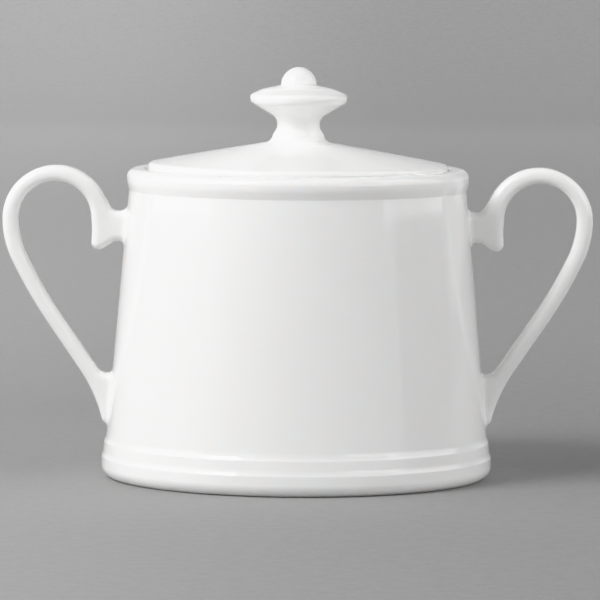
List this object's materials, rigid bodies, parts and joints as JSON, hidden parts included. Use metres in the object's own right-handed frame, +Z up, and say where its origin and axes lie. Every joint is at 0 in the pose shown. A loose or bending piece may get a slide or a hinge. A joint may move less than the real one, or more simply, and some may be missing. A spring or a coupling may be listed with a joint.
{
  "type": "sugar bowl",
  "caption": "Round white covered sugar bowl with a tapered wall, moulded foot, beaded rim, ear-shaped handles and a low conical lid that lifts off by a turned finial.",
  "frame": {"origin": "centre of the foot ring, on the surface the bowl stands on", "axes": "+Z up along the axis of the bowl, +X through the right handle, -Y towards the viewer"},
  "size_m": [0.1552, 0.1026, 0.1077],
  "materials": {
    "white_glaze": "clear gloss glaze on white bone china, bare body on the foot ring"
  },
  "bodies": {
    "bowl": {"bowl_body": "white_glaze", "left_handle": "white_glaze", "right_handle": "white_glaze"},
    "lid": {"lid_cover": "white_glaze", "lid_finial": "white_glaze"}
  },
  "joints": [
    {"name": "lid_lift", "type": "slide", "parent": "bowl", "child": "lid", "axis": [0, 0, 1], "range_m": [0, 0.08]}
  ]
}
